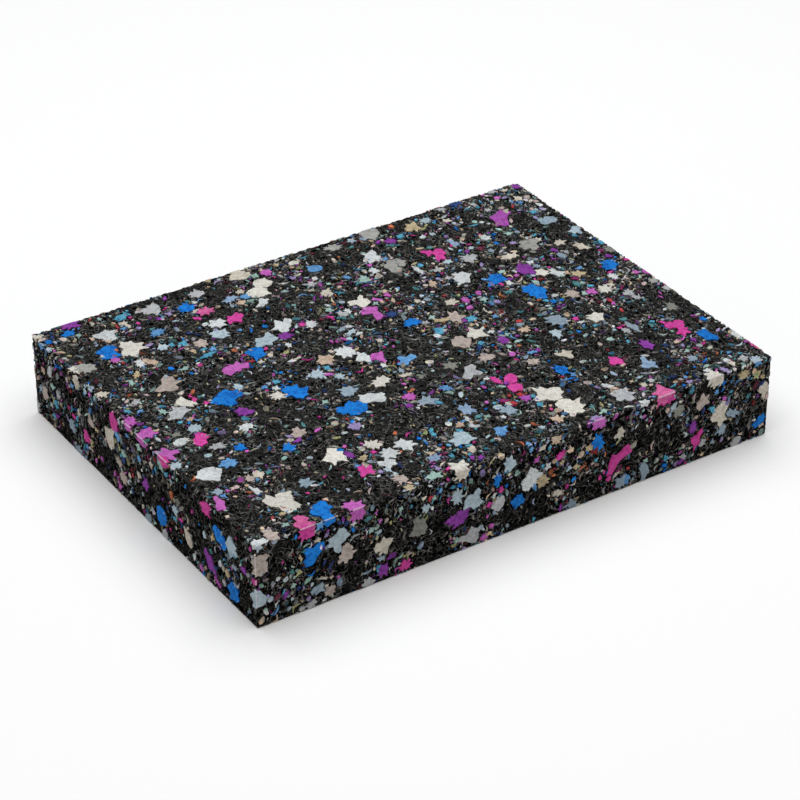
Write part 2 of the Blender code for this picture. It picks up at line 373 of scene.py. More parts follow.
# The short side on the left: from the middle towards the far corner, above the floor, wide, high, turned
LEFT_CHIPS = {
    "blue": (
        (-51.4, 21.6, 7.4, 5.4, 20), (-59.5, 5.2, 6.8, 6.2), (-14, 7.4, 6, 6.6), (55.9, 27.6, 3, 1.6, -10),
    ),
    "sky": (
        (66.4, 30.2, 4, 3, -30), (13.6, 23, 4.2, 2.6, 10), (-0.6, 22, 2.6, 2.8), (36.2, 6.1, 2.2, 2.2),
        (6.8, 26.6, 2.6, 1.6), (44.8, 25.6, 2.6, 1.6, -20),
    ),
    "cyan": (
        (-23.4, 11.8, 2.6, 2), (-18.6, 26, 3, 1.8, -20), (57.9, 11.3, 3.4, 3.4), (60.3, 5.4, 2.6, 2),
    ),
    "ice": (
        (-58.6, 21.9, 6.6, 6.6), (-23.6, 15.2, 4, 4.2), (12.1, 29.2, 2, 2.6),
    ),
    "steel": (
        (46.7, 8.9, 5.2, 5), (-5.2, 1.6, 4.4, 4.4), (43, 1.4, 4.6, 3.6), (69.3, 11.8, 2.6, 3.2),
        (-60.6, 15.2, 3, 2),
    ),
    "cream": (
        (-31.2, 9.6, 6.2, 5.2, 20), (19.2, 19.2, 6.6, 8.6), (41.6, 29, 5.2, 5.6, 20),
        (6.4, 11.6, 2, 2.6, -10), (-9, 24.2, 3, 3, 20), (41, 17, 2.2, 3), (0, 15.2, 2.4, 2.8),
    ),
    "light_grey": (
        (-16, 1.4, 4.6, 4.6), (56.2, 16, 2.6, 3.6, -20), (73, 2.6, 3.6, 6), (61.5, 22.2, 3.4, 4.2),
    ),
    "taupe": (
        (11, 8, 5.6, 5.4), (13.6, 12.6, 4.2, 3.8), (66.2, 11.6, 4.2, 5.2), (32.6, 18, 4.4, 4, -20),
    ),
    "pink": (
        (16.8, 26.6, 4.8, 7.4), (-43.2, 27.2, 5.2, 5, 20), (36.5, 10.2, 5.4, 4.4, 40),
        (-72.6, 17.2, 3.4, 2.6), (-27.4, 13.6, 2.4, 1.8), (44.9, 13.2, 3.2, 1.6, 10), (-17, 30, 6.4, 4.6),
    ),
    "violet": (
        (-4.4, 14.4, 5, 5.4, 20), (-44.6, 8.8, 6.2, 5.4, 30), (-66.4, 17.8, 4, 2.8, 20),
        (58.2, 6.6, 2.6, 2.4),
    ),
    "orchid": (
        (-49.6, 3, 4.6, 1.6, 30), (13.9, 3.2, 2.6, 2.8), (-39.6, 2.4, 2.6, 2.4), (32.3, 28.8, 2.2, 2.6),
        (-2.2, 30.4, 6, 3.4), (6, 30.4, 5, 3.2),
    ),
    "mint": (
        (-15.4, 27.8, 3.6, 4.6, -10), (-0.7, 26.8, 3.8, 3.4), (10.1, 18.2, 4, 3, 20),
        (60.3, 17, 4, 2.6, -20),
    ),
    "tan": (
        (-47.6, 18.7, 2.6, 3.4), (-56.2, 10.2, 3, 3), (28.5, 17, 2.4, 2),
    ),
}

# Rims read off the photo, each by the place of its chip. Each tip and each bite is two numbers: its direction
# in degrees, counter-clockwise from the right, and its reach from the middle of the chip in tenths of a mm
RIMS = {
    "top": {
        (-76.5, 48): (97, 48, 75, 36, 49, 40, 28, 32, 5, 57, -17, 43, -31, 63, -50, 42, -75, 46, -94, 66,
            -121, 46, -141, 61, -158, 40, 170, 22, 136, 34),
        (-65, 3.5): (75, 44, 54, 43, 39, 38, 28, 54, 0, 57, -24, 54, -37, 37, -63, 37, -78, 53, -110, 53,
            -128, 45, -159, 51, -177, 62, 160, 43, 124, 33, 105, 34),
        (23.5, -52.3): (106, 65, 100, 43, 84, 54, 63, 33, 40, 43, 16, 54, 2, 53, -19, 51, -34, 40, -55, 54,
            -95, 44, -126, 32, -163, 52, 178, 48, 153, 33, 124, 40),
        (-34.5, -24.5): (90, 35, 68, 44, 47, 38, 32, 52, 13, 49, -5, 59, -27, 50, -49, 56, -65, 43, -90, 44,
            -126, 41, -140, 29, -157, 42, 169, 51, 153, 50, 135, 42, 124, 27),
        (25.6, -63.5): (100, 64, 65, 53, 58, 40, 35, 61, 22, 40, -10, 43, -33, 31, -56, 42, -77, 40, -104, 30,
            -118, 48, -137, 48, -148, 35, -170, 41, 165, 34, 143, 49, 121, 60),
        (33.5, 69.8): (142, 42, 174, 37, -151, 38, -131, 34, -101, 47, -84, 33, -33, 31, 17, 39, 45, 45, 90,
            40),
        (-43.8, -5.5): (103, 40, 83, 30, 56, 40, 17, 19, 0, 44, -45, 37, -67, 46, -95, 46, -124, 42, -144, 32,
            -162, 47, 169, 38, 149, 50, 124, 40),
        (-54.5, -45): (78, 45, 45, 47, 14, 46, -9, 35, -32, 41, -60, 51, -83, 30, -113, 48, -135, 31, -175,
            43, 145, 23, 106, 27),
        (59.3, 3.8): (100, 54, 119, 53, 148, 46, 158, 30, -165, 36, -140, 29, -125, 45, -88, 50, -68, 40, -47,
            30, -20, 37, 17, 39, 53, 37, 73, 52),
        (-15, -59): (85, 46, 111, 32, 129, 24, 162, 43, -174, 33, -147, 44, -113, 28, -87, 37, -52, 30, -24,
            52, -12, 36, 27, 41, 54, 44, 68, 40),
        (-76.5, 21.2): (77, 47, 111, 32, 162, 23, -163, 62, -141, 52, -98, 50, -72, 47, -45, 26, -11, 49, 7,
            30, 39, 41),
        (-92, -32.5): (84, 37, 124, 40, 148, 35, 171, 47, -157, 38, -122, 35, -79, 47, -56, 40, -22, 40, 5,
            46, 38, 42, 56, 40),
        (-81.2, -56): (163, 50, 152, 48, 141, 38, 114, 46, 107, 31, 100, 11, 81, 24, 72, 30, 40, 39, 15, 57,
            -7, 45, -45, 50, -54, 73, -77, 74, -99, 78, -110, 55, -114, 41, -145, 45, -170, 42),
        (25.5, 56.5): (129, 41, 119, 26, 90, 27, 59, 41, 33, 27, 5, 23, -34, 13, -38, 30, -65, 35, -92, 45,
            -112, 40, -130, 53, -145, 44, -159, 51, -173, 43, 173, 30, 148, 28),
        (-25, 32.8): (110, 41, 132, 36, 157, 33, 180, 38, -170, 54, -155, 39, -131, 49, -112, 49, -99, 44,
            -94, 30, -60, 26, -24, 22, 3, 31, 20, 38, 43, 39, 61, 36, 70, 24, 80, 15, 98, 28),
        (-73.5, -69.5): (75, 51, 62, 54, 45, 55, 30, 44, 10, 42, 2, 27, -36, 25, -54, 33, -70, 56, -100, 60,
            -120, 34, -142, 21, 173, 32, 156, 37, 132, 40, 106, 45),
        (44, 26.3): (122, 50, 97, 30, 59, 39, 41, 28, 6, 36, -19, 23, -70, 27, -92, 44, -118, 40, -140, 55,
            -164, 40, 166, 38, 142, 30, 128, 41),
        (26.5, -8): (97, 48, 87, 44, 82, 26, 45, 26, 36, 52, 24, 40, 10, 22, -36, 25, -55, 40, -82, 28, -115,
            26, -143, 40, -158, 30, -172, 40, 163, 37, 137, 35, 114, 32),
        (-83.5, 50): (104, 30, 67, 38, 43, 38, 6, 37, -27, 25, -52, 33, -60, 51, -82, 50, -113, 48, -140, 46,
            -161, 34, 164, 39, 147, 37, 129, 26),
        (-57.5, 66.8): (59, 39, 76, 23, 106, 27, 143, 18, 156, 45, 180, 60, -170, 41, -140, 46, -117, 33, -96,
            50, -82, 41, -58, 35, -23, 28, 14, 30, 45, 31),
        (-52, 18.2): (68, 34, 17, 19, 3, 41, -22, 40, -51, 38, -76, 23, -101, 39, -126, 32, -141, 59, -161,
            57, 180, 59, 159, 47, 135, 42, 146, 27, 122, 17),
        (5, 22.8): (108, 48, 79, 39, 41, 39, 14, 15, -55, 23, -72, 35, -100, 52, -115, 51, -126, 32, -166, 15,
            170, 43, 149, 50, 129, 47),
        (-79, 60.5): (8, 39, -13, 42, -36, 32, -69, 51, -96, 50, -116, 49, -122, 35, -159, 36, 173, 43, 158,
            40, 142, 21, 79, 19, 62, 27, 19, 23),
        (76.8, 32): (117, 45, 68, 40, 39, 47, 25, 53, 6, 37, -10, 22, -53, 28, -72, 35, -117, 41, -129, 24,
            -151, 38, -175, 39, 160, 43, 135, 34, 129, 43),
        (-25.5, -22.8): (-2, 50, 18, 47, 21, 31, 53, 28, 83, 33, 117, 33, 127, 49, 145, 38, 168, 42, -167, 40,
            -140, 31, -103, 25, -76, 38, -56, 49, -37, 44, -19, 39),
        (44, -66.6): (48, 52, 59, 39, 90, 44, 121, 43, 143, 44, 163, 31, -172, 39, -146, 40, -125, 23, -103,
            34, -79, 39, -55, 36, -22, 24, -3, 44, 23, 28),
        (-21, 56.8): (90, 30, 45, 31, 0, 33, -40, 34, -53, 51, -67, 38, -90, 37, -114, 40, -138, 44, -167, 42,
            172, 43, 143, 37, 118, 31),
        (-35, 27): (57, 51, 73, 44, 79, 30, 115, 26, 135, 44, 165, 42, -163, 56, -143, 49, -137, 33, -96, 37,
            -76, 23, -35, 29, -11, 38, 26, 35, 49, 39),
        (55.6, -71.2): (71, 51, 46, 31, 15, 29, -20, 43, -40, 41, -66, 43, -84, 48, -90, 56, -114, 46, -120,
            65, -142, 42, -155, 26, -174, 36, 168, 36, 154, 21, 90, 26, 78, 43),
        (4.3, 31.7): (56, 47, 40, 41, 26, 25, -3, 33, -41, 39, -72, 35, -103, 42, -120, 30, -151, 23, -170,
            43, 163, 39, 146, 40, 121, 22, 90, 13, 69, 30),
        (65, 18.5): (82, 52, 66, 36, 34, 40, 0, 28, -32, 28, -61, 38, -85, 44, -106, 27, -128, 36, -160, 32,
            167, 34, 128, 36, 98, 39),
        (-82.3, -70.6): (63, 41, 82, 38, 97, 33, 99, 13, 149, 18, 175, 24, -153, 25, -120, 30, -111, 47, -97,
            62, -81, 60, -57, 59, -50, 53, -39, 45, -24, 46, -9, 26, 11, 40, 27, 41),
        (18.3, -10): (82, 41, 52, 39, 31, 32, 5, 41, -22, 34, -52, 33, -82, 39, -104, 38, -127, 28, -164, 33,
            167, 34, 128, 33, 104, 36),
        (79.6, 55.5): (53, 49, 23, 48, 0, 48, -24, 32, -66, 32, -85, 50, -95, 68, -113, 66, -134, 69, -140,
            51, -163, 37, 164, 40, 144, 32, 99, 24, 66, 36),
        (-20.4, 70.4): (118, 42, 73, 44, 55, 23, 17, 19, 20, 32, -6, 35, -40, 34, -84, 37, -119, 38, -146, 40,
            -164, 48, 180, 42, 152, 31),
        (-16, 61.7): (122, 28, 68, 20, 53, 28, 26, 17, -35, 32, -78, 36, -112, 40, -156, 46, 169, 40, 146,
            33),
        (54.5, -47.9): (96, 38, 82, 26, 61, 29, 27, 21, -4, 24, -42, 25, -73, 39, -82, 27, -96, 19, -133, 24,
            -168, 26, 162, 23, 125, 22),
        (-50.2, -57.5): (104, 39, 88, 27, 69, 40, 51, 28, 33, 37, 11, 28, -15, 22, -38, 33, -69, 31, -96, 17,
            -130, 35, -153, 29, 180, 18, 141, 24, 113, 28),
        (18.8, -38.2): (65, 35, 83, 29, 117, 25, 157, 24, -169, 28, -141, 26, -114, 24, -66, 24, -27, 21, 11,
            29, 43, 33),
        (17.2, -43): (90, 26, 54, 25, 16, 27, -21, 26, -71, 28, -96, 19, -124, 27, -158, 25, 157, 24, 120,
            26),
        (45.4, 44.8): (68, 34, 94, 24, 143, 20, -153, 17, -140, 29, -122, 48, -107, 38, -83, 46, -69, 31, -55,
            23, -28, 31, 7, 32, 35, 35, 56, 37),
        (42.8, 48): (150, 21, 112, 19, 53, 10, 14, 19, -17, 22, -49, 23, -97, 27, -114, 31, -119, 16, -168,
            13),
        (85.2, -39.6): (45, 31, 18, 35, 3, 38, -27, 33, -53, 37, -75, 28, -98, 24, -117, 21, -153, 29, -174,
            33, 159, 31, 122, 28, 90, 24, 66, 16, 56, 26),
        (53, 18.7): (105, 36, 81, 34, 55, 38, 35, 38, 8, 26, -21, 31, -43, 38, -82, 26, -122, 35, -145, 45,
            -156, 59, -167, 42, 180, 31, 159, 41, 139, 34, 125, 27),
        (-42.5, 21.2): (90, 39, 67, 38, 43, 38, 21, 31, -5, 22, -30, 30, -52, 30, -90, 26, -117, 33, -123, 46,
            -143, 33, -160, 22, 163, 31, 142, 39, 115, 39),
        (91.5, 4.8): (112, 40, 90, 31, 68, 40, 45, 39, 30, 40, 0, 29, -16, 34, -38, 23, -70, 27, -87, 35,
            -106, 34, -124, 27, -150, 36, -163, 25, 173, 32, 135, 23),
        (90.3, -51.8): (75, 44, 95, 39, 114, 40, 137, 33, 156, 22, -171, 22, -138, 27, -113, 24, -90, 26, -72,
            37, -45, 34, -23, 28, 5, 20, 36, 22, 54, 34),
        (-37, 45.5): (123, 31, 112, 20, 80, 21, 55, 36, 31, 32, 11, 39, -6, 33, -35, 22, -58, 28, -82, 39,
            -98, 26, -132, 25, -142, 45, -156, 32, -177, 31, 144, 25),
        (-9.8, -2.4): (112, 30, 86, 26, 58, 24, 43, 35, 21, 26, -5, 20, -53, 18, -73, 31, -88, 44, -104, 30,
            -135, 21, -162, 24, -167, 36, 169, 28, 143, 28),
    },
    "front": {
        (79.2, 15.6): (79, 47, 34, 42, 15, 29, -24, 22, -46, 43, -71, 39, -84, 56, -97, 45, -107, 31, -146,
            40, -169, 39, 164, 33, 139, 37, 106, 33),
        (1.4, 17.6): (85, 44, 52, 42, 27, 37, 10, 50, 0, 51, -9, 35, -40, 34, -65, 45, -76, 30, -95, 41, -128,
            39, -152, 31, 173, 30, 132, 22, 97, 30),
        (-71.2, 21.6): (75, 44, 53, 46, 29, 42, 12, 51, -13, 32, -39, 24, -67, 48, -101, 38, -121, 21, -167,
            40, 180, 26, 146, 33, 111, 26, 83, 30),
        (-79.8, 20.3): (116, 35, 81, 22, 58, 39, 35, 45, 13, 42, -16, 27, -51, 24, -87, 37, -123, 44, -149,
            39, -166, 23, 159, 32, 139, 37),
        (-21, 17.8): (58, 46, 30, 40, 7, 30, -24, 50, -40, 43, -74, 33, -101, 21, -141, 38, -172, 28, 161, 27,
            113, 28, 71, 27),
        (-20.4, 4.5): (97, 33, 63, 25, 28, 40, 9, 24, -38, 30, -71, 33, -98, 30, -132, 25, -173, 45, 166, 46,
            161, 27, 127, 25),
        (-40.8, 15.4): (66, 36, 32, 28, -20, 32, -53, 37, -97, 32, -125, 32, -150, 40, -171, 24, 141, 24, 124,
            36, 93, 42, 81, 26),
        (35.6, 12.4): (47, 60, 31, 64, 10, 64, 4, 40, -20, 22, -74, 27, -99, 45, -127, 55, -133, 35, -164, 27,
            154, 21, 110, 32, 76, 23, 54, 34),
        (-98.6, 11.5): (123, 38, 94, 30, 59, 17, -25, 31, -58, 35, -107, 37, -133, 52, -147, 35, -173, 46,
            147, 31),
        (-53.9, 13.4): (87, 33, 61, 23, 27, 37, 11, 30, -31, 22, -72, 35, -99, 26, -119, 38, -131, 20, -153,
            33, 177, 35, 147, 31, 121, 22),
        (-97.6, 23.6): (103, 34, 58, 35, 40, 34, 30, 15, 0, 22, -45, 26, -61, 38, -100, 41, -128, 44, -140,
            57, -167, 28, 180, 49, 126, 41),
        (-10.2, 13): (93, 31, 53, 28, 5, 22, -42, 22, -90, 31, -124, 27, -166, 30, 157, 28, 121, 26),
    },
    "left": {
        (19.2, 19.2): (47, 60, 43, 32, -8, 28, -45, 37, -77, 42, -96, 41, -133, 33, -173, 31, 139, 39, 110,
            31, 81, 37, 61, 54),
        (-58.6, 21.9): (79, 40, 52, 30, 24, 41, 0, 30, -13, 42, -43, 35, -67, 28, -90, 41, -108, 29, -153, 25,
            180, 30, 141, 24, 106, 33),
        (-59.5, 5.2): (70, 37, 32, 35, 0, 26, -14, 38, -54, 32, -98, 30, -121, 43, -141, 24, 177, 36, 140, 29,
            103, 34),
        (-51.4, 21.6): (127, 37, 76, 30, 45, 24, 14, 38, -9, 47, -39, 45, -59, 43, -63, 25, -117, 25, -171,
            24, 165, 34),
        (-14, 7.4): (96, 37, 53, 37, 14, 36, -26, 34, -63, 33, -97, 35, -130, 34, -172, 28, 140, 34),
        (16.8, 26.6): (84, 41, 54, 32, 24, 45, 0, 30, -28, 40, -53, 37, -98, 30, -144, 18, 163, 19, 120, 30),
        (-44.6, 8.8): (116, 35, 148, 35, -168, 19, -97, 33, -60, 34, -43, 66, -22, 40, 10, 23, 56, 27, 90,
            18),
        (-31.2, 9.6): (128, 36, 100, 22, 34, 27, 0, 22, -26, 35, -61, 38, -90, 28, -126, 19, 166, 17),
    },
}

READ_CHIPS = {"top": TOP_CHIPS, "front": FRONT_CHIPS, "left": LEFT_CHIPS}

# The scatter: random chips and crumbs tried on a square metre, and the share of the crumbs that two sides get
CHIPS_PER_M2 = 17000
CRUMBS_PER_M2 = 540000
SIDE_CRUMBS = {"front": 0.53, "left": 0.44}
# How the crumbs lie on the upright faces: degrees from the level, as the photo shows them leaning one way
GRAIN = {"front": 55, "back": 55, "left": 90, "right": 90}
GRAIN_SPREAD = 70
# Widths of the random chips in mm, one for each share
CHIP_SIZES = ((1.8, 4.5),) * 5 + ((4.5, 7), (6, 9.5))
# Radii of the crumbs in mm, with their shares
CRUMB_SIZES = ((0.28, 0.5, 30), (0.5, 0.95, 44), (0.95, 1.6, 26))
# Shapes of the crumbs: how slim, how long
CRUMB_SHAPES = {
    "speck": (0.8, 1.05), "leaf": (0.5, 1.2), "shard": (0.75, 1.05), "drop": (0.6, 1.05),
    "sliver": (0.22, 1.35), "curl": (0.25, 1.4),
}
CRUMB_KINDS = ("speck", "leaf", "shard", "drop", "shard", "shard", "sliver", "sliver", "curl")
# Shades of the chips and of the crumbs, one range for each share
CHIP_SHADES = (0.86, 1.04)
CRUMB_SHADES = ((0.3, 0.6), (0.55, 1.0), (0.85, 1.08))
# How many of the crumbs stay where no small chip is near
LONE_CRUMBS = 0.13
# How much of its radius each keeps clear, and how near the next one may come
CHIP_HOLD = 0.92
CHIP_SPACING = 0.95
CRUMB_SPACING = 0.78
# Random torn rims of radius 1: how far a tip reaches, how deep and how narrow a bite is
TIP_REACH = (0.78, 1.14)
BITE_DEPTH = (0.08, 0.46)
BITE_NARROWNESS = (0.8, 1.0, 1.4, 2.6)
# How much sharper a read rim is drawn, and how many of the other big chips borrow one
READ_SHARPNESS = 1.18
BORROWED_SHARE = 0.3
# A rim is borrowed if its longest reach is so many times its shortest one, and made smaller and sharper
JAGGED = (1.6, 2.4)
BORROWED_REACH = 0.92
BORROWED_SHARPNESS = 1.2
# How far a chip's rim stands out beyond its tips, read or random, and how ragged it is in between
READ_SWELL = 1.02
RANDOM_SWELL = 1.12
RAGGEDNESS = 0.10

# Where the random draws start
SEED = 11

# Patterns and tones of the chips' material
VEIN_SIZE = 1.6 * MM
GRIT_SIZE = 0.45 * MM
PORE_SIZE = 1.1 * MM
MOTTLE_SIZE = 1.3 * MM
CREASE_SIZE = 0.9 * MM
# Painted highlight, with some edge wear: the pale tone that chips take along the fold over the slab's rounded
# edge
FOLD_WEAR_AND_HIGHLIGHT_TONE = (226, 222, 224)
# Painted shade: the near-black drawn in the chips' rare small pores
PORE_SHADE_COLOR = (0.02, 0.02, 0.022, 1)
# Patterns and tones of the dark crumb
SWIRL_SIZE = 1.8 * MM
SWIRL_REACH = 0.9 * MM
SHARD_SIZE = 4.6 * MM
HOLE_SIZE = 2.3 * MM
SPECK_SIZE = 0.8 * MM
SPECK_TONE = 0.72
GROUND_SIZE = 1.4 * MM
FADED_SIZE = 2.2 * MM
DARK_TONE = (18, 18, 18)
CHARCOAL_TONE = (52, 52, 51)
CURL_TONE = (130, 129, 127)
SEAM_TONE = (8, 8, 9)
# Painted shade in the holes of the torn cells
CELL_HOLE_SHADE_TONE = (6, 6, 7)
# Painted shadow beside the whorl lines
RIDGE_SHADOW_TONE = (10, 10, 10)
# Painted shade in the scattered pits
PIT_SHADE_TONE = (4, 4, 5)
# Painted shade on the upright faces: the crumb there is drawn darker in its darks and with more contrast, as
# the light from above shades its pits
SIDE_SHADE_GAMMA = 1.22
SIDE_SHADE_GAIN = 1.3
# Rings: size of a cell in mm, thickness, shift. Whorls: size in mm, number of turns, thickness, shift
RINGS = ((3.0, 0.078, 0.0), (2.1, 0.105, 0.031))
WHORLS = ((4.4, 7.0, 0.12, 0.0), (6.5, 9.0, 0.11, 0.05))

# Finish of the foam: roughness, relief in mm and shine of the crumb and of the chips
ROUGHNESS = 0.95
CRUMB_RELIEF_MM, CRUMB_SHINE = 0.6, 0.0
CHIP_RELIEF_MM, CHIP_SHINE = 0.10, 0.2

# Camera and light
CAMERA_TURN = math.radians(-33.18)
CAMERA_RISE = math.radians(32.33)
CAMERA_DISTANCE = 0.9336
CAMERA_AIM = Vector((-0.0052, -0.0084, 0.0155))
CAMERA_LENS_MM = 125.5
SENSOR_MM = 36.0
WARM = (1.0, 0.86, 0.68)
# Each light, aimed at the middle of the floor: place, side, power, tint
LIGHTS = {
    "softbox": (Vector((0.05, 0.1, 1.4)), 2.1, 32.5, (0.98, 0.99, 1.0)),
    "fill_left": (Vector((-1.6, -0.3, 0.7)), 0.8, 1.3, WARM),
    "fill_front": (Vector((0.2, -1.7, 0.7)), 0.8, 1.3, WARM),
}
SKY_COLOR = (1.0, 0.96, 0.90, 1)
SKY_STRENGTH = 0.08
FLOOR_HALF = 6
FLOOR_COLOR = (0.95, 0.95, 0.95, 1)
FLOOR_ROUGHNESS = 0.9
# How brightly the lights shine on the top face: a colour as seen is the foam's own colour times this
LIGHT_ON_TOP = 1.03


def srgb(color):
    """The foam's own colour, from its colour as seen on the lit top face (0 to 255)."""
    values = (c / 255 for c in color)
    linear = (c / 12.92 if c <= 0.04045 else ((c + 0.055) / 1.055) ** 2.4 for c in values)
    return tuple(c / LIGHT_ON_TOP for c in linear) + (1.0,)


def finished(name, bm, material, smooth_angle=None):
    """The mesh as an object at the origin, with its material."""
    mesh = bpy.data.meshes.new(name)
    bm.to_mesh(mesh)
    bm.free()
    if smooth_angle is not None:
        mesh.shade_smooth()
        mesh.set_sharp_from_angle(angle=smooth_angle)
    mesh.materials.append(material)
    piece = bpy.data.objects.new(name, mesh)
    bpy.context.scene.collection.objects.link(piece)
    return piece


def seam(place, size, width):
    """1 on the seam between two cells of a random pattern, 0 from a width away."""
    near, next_one = noise.voronoi(place / size)[0][:2]
    return max(0.0, 1.0 - (next_one - near) / width)


def flake_band(place):
    """0 in the middle of a big dark flake, 1 where it meets its neighbours."""
    return seam(place, FLAKE_SIZE, FLAKE_SEAM)


# The body of crumb

def sawn_depth(place, at_edge):
    """How far the cut surface lies below the flat face: lumps, crevices between crumbs, and open pits."""
    depth = SKIN_DEPTH + LUMP_DEPTH * noise.noise(place / LUMP_SIZE)
    depth += CREVICE_DEPTH * seam(place, CREVICE_SIZE, CREVICE_WIDTH)
    pit = noise.noise(place / PIT_SIZE + PIT_SHIFT)
    depth += PIT_DEPTH * max(0.0, pit - PIT_START) / PIT_RANGE
    if at_edge:
        return min(depth, DEEPEST_AT_EDGE if place.z > MIDDLE.z else DEEPEST_AT_FLOOR)
    return depth


def moved_verts(made):
    return [part for part in made["geom"] if isinstance(part, bmesh.types.BMVert)]


def foam_body(material, scatter):
    """The whole slab as one closed skin, cut by the saw and left open-pored."""
    bm = bmesh.new()
    across, deep, tall = (max(2, round(side / SKIN_STEP)) for side in SIZE)
    bmesh.ops.create_grid(bm, x_segments=across, y_segments=deep, size=0.5)
    raised = bmesh.ops.extrude_face_region(bm, geom=bm.faces[:], use_keep_orig=True)
    bmesh.ops.translate(bm, vec=(0, 0, 1), verts=moved_verts(raised))
    upright_edges = [e for e in bm.edges if abs(e.verts[0].co.z - e.verts[1].co.z) > 0.5]
    bmesh.ops.subdivide_edges(bm, edges=upright_edges, cuts=tall - 1, use_grid_fill=True)
    bmesh.ops.scale(bm, vec=SIZE, verts=bm.verts)
    bmesh.ops.translate(bm, vec=(MIDDLE.x, MIDDLE.y, LOW.z), verts=bm.verts)
    bmesh.ops.recalc_face_normals(bm, faces=bm.faces)
    bm.verts.layers.float.new("band")
    upright = bm.verts.layers.float.new("upright")
    band = bm.verts.layers.float["band"]
    inner_low = LOW + Vector((EDGE_RADIUS,) * 3)
    inner_high = HIGH - Vector((EDGE_RADIUS,) * 3)
    for vert in bm.verts:
        inside = Vector(min(max(c, lo), hi) for c, lo, hi in zip(vert.co, inner_low, inner_high))
        outward = vert.co - inside
        at_edge = sum(abs(c) > 1e-7 for c in outward) > 1
        vert[band] = scatter.crumb_near(vert.co)
        # Marks the upright faces, where the crumb gets painted shade
        vert[upright] = float(abs(outward.z) < 1e-7)
        vert.co = inside + outward.normalized() * (EDGE_RADIUS - sawn_depth(vert.co, at_edge))
    return finished("foam_crumb", bm, material, smooth_angle=SMOOTH_ANGLE)


# Torn chips and crumbs

def face_halves(face):
    _middle, across, up = FACES[face]
    return abs(across.dot(SIZE)) / 2, abs(up.dot(SIZE)) / 2


def bend_over_edge(along, half, lift):
    """A place along a flat face and its height, once the face turns down over its rounded edge."""
    past = abs(along) - (half - EDGE_RADIUS)
    if past <= 0:
        return along, lift
    side = math.copysign(1.0, along)
    arc = past / EDGE_RADIUS
    if arc < math.pi / 2:
        reach = EDGE_RADIUS + lift
        return side * (half - EDGE_RADIUS + reach * math.sin(arc)), reach * math.cos(arc) - EDGE_RADIUS
    return side * (half + lift), EDGE_RADIUS * (math.pi / 2 - 1) - past


def laid(face, flat):
    """A point of a face's flat drawing (across, up, height) in its place on the slab."""
    middle, across, up = FACES[face]
    half_across, half_up = face_halves(face)
    u, drop_u = bend_over_edge(flat.x, half_across, flat.z)
    v, drop_v = bend_over_edge(flat.y, half_up, flat.z)
    return middle + across * u + up * v + across.cross(up) * min(drop_u, drop_v)


def random_tips(rng, fewest, most):
    """Tips of a torn rim of radius 1: direction, reach, how deep and how narrow the bite after it is."""
    count = rng.randint(fewest, most)
    start = rng.uniform(0, math.tau)
    tips = []
    for i in range(count):
        direction = start + math.tau * (i + rng.uniform(-0.3, 0.3)) / count
        reach, bite = rng.uniform(*TIP_REACH), rng.uniform(*BITE_DEPTH)
        tips.append((direction, reach, bite, rng.choice(BITE_NARROWNESS)))
    return sorted(tips)


def read_tips(read_rim):
    """Tips and bites of a read rim in metres, a little sharper, for reading rounds them off."""
    usual = 2 * sum(read_rim[1::2]) / len(read_rim)
    tips = []
    for direction, reach in zip(read_rim[::2], read_rim[1::2]):
        reach = usual * (reach / usual) ** READ_SHARPNESS
        tips.append((math.radians(direction) % math.tau, reach * MM / 10, 0.0, 1.0))
    return sorted(tips)


def borrowed_tips(rng):
    """The rim of a read chip that is neither smooth nor long, turned about and brought to radius 1."""
    rims = [read_rim for face_rims in RIMS.values() for read_rim in face_rims.values()]
    least, most = JAGGED
    jagged = [read_rim for read_rim in rims if least < max(read_rim[1::2]) / min(read_rim[1::2]) < most]
    tips = read_tips(rng.choice(jagged))
    turn = rng.uniform(0, math.tau)
    usual = sum(tip[1] for tip in tips) / len(tips)
    borrowed = []
    for direction, reach, bite, narrow in tips:
        reach = BORROWED_REACH * (reach / usual) ** BORROWED_SHARPNESS
        borrowed.append(((direction + turn) % math.tau, reach, bite, narrow))
    return sorted(borrowed)


def rim(angle, tips):
    """How far the torn rim lies from the middle in a direction."""
    for (start, reach, bite, narrow), (end, next_reach, _bite, _narrow) in zip(tips, tips[1:] + tips[:1]):
        span = (end - start) % math.tau
        past = (angle - start) % math.tau
        if past <= span:
            slant = reach * math.sin(past) + next_reach * math.sin(span - past)
            straight = reach * next_reach * math.sin(span) / slant
            return straight * (1 - bite * math.sin(math.pi * past / span) ** narrow)
    return 1.0


def disc(bm, points):
    return bmesh.ops.create_circle(bm, cap_ends=True, radius=1, segments=points)["verts"]


def turned_at(place, turn, lift):
    return Matrix.Translation((place[0], place[1], lift)) @ Matrix.Rotation(turn, 4, "Z")


def tear_chip(bm, shade_layer, place, wide, high, turn, lift, read_rim, rng):
    """One chip as a flat sheet in the drawing of its face, torn all round. Sizes in metres."""
    big = max(wide, high) > BIG_CHIP
    tips = random_tips(rng, 6, 9) if big else random_tips(rng, 4, 6)
    swell = READ_SWELL if read_rim else RANDOM_SWELL
    if read_rim:
        tips = read_tips(read_rim)
        wide = high = 2.0
        turn = 0.0
    elif big and rng.random() < BORROWED_SHARE:
        tips = borrowed_tips(rng)
    made = disc(bm, CHIP_POINTS if big else CHIP_POINTS // 2)
    seat = turned_at(place, turn, lift)
    phase = rng.uniform(0, 100)
    for vert in made:
        x, y = vert.co.xy
        ragged = noise.noise(Vector((x * 3, y * 3, phase)))
        ragged += 1.4 * noise.noise(Vector((x * 9, y * 9, phase)))
        reach = rim(math.atan2(y, x), tips) * (swell + RAGGEDNESS * ragged)
        vert.co = seat @ Vector((x * reach * wide / 2, y * reach * high / 2, 0))
    made[0].link_faces[0][shade_layer] = rng.uniform(*CHIP_SHADES)


